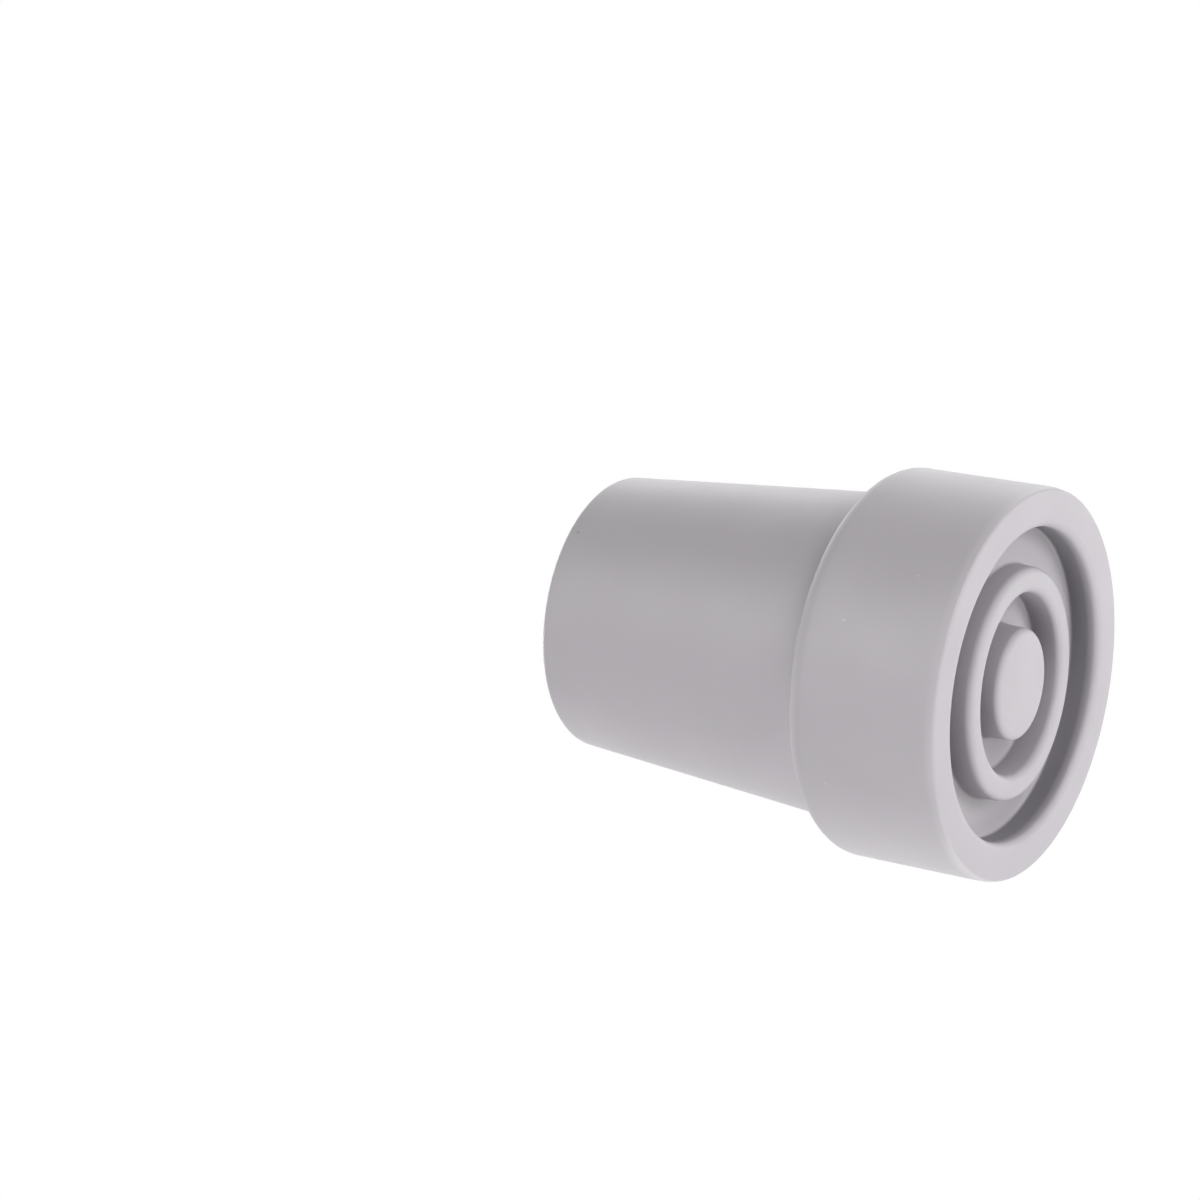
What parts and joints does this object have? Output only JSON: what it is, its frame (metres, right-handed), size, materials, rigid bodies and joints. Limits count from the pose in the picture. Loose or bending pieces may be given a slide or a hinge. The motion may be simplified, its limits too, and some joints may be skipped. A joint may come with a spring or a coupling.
{
  "type": "cane tip",
  "caption": "Moulded rubber tip for a round shaft: a tapered sleeve with a blind socket, a wide collar at the foot and concentric grooves in the sole.",
  "frame": {"origin": "centre of the sole, in the plane of the rim that touches the ground", "axes": "+Z along the tip's axis, from the sole to the mouth of the socket; the tip is the same all round, so X and Y are free"},
  "size_m": [0.038, 0.038, 0.0464],
  "materials": {
    "rubber": "satin moulded grey rubber"
  },
  "bodies": {
    "root": {"cane_tip": "rubber"}
  },
  "joints": []
}
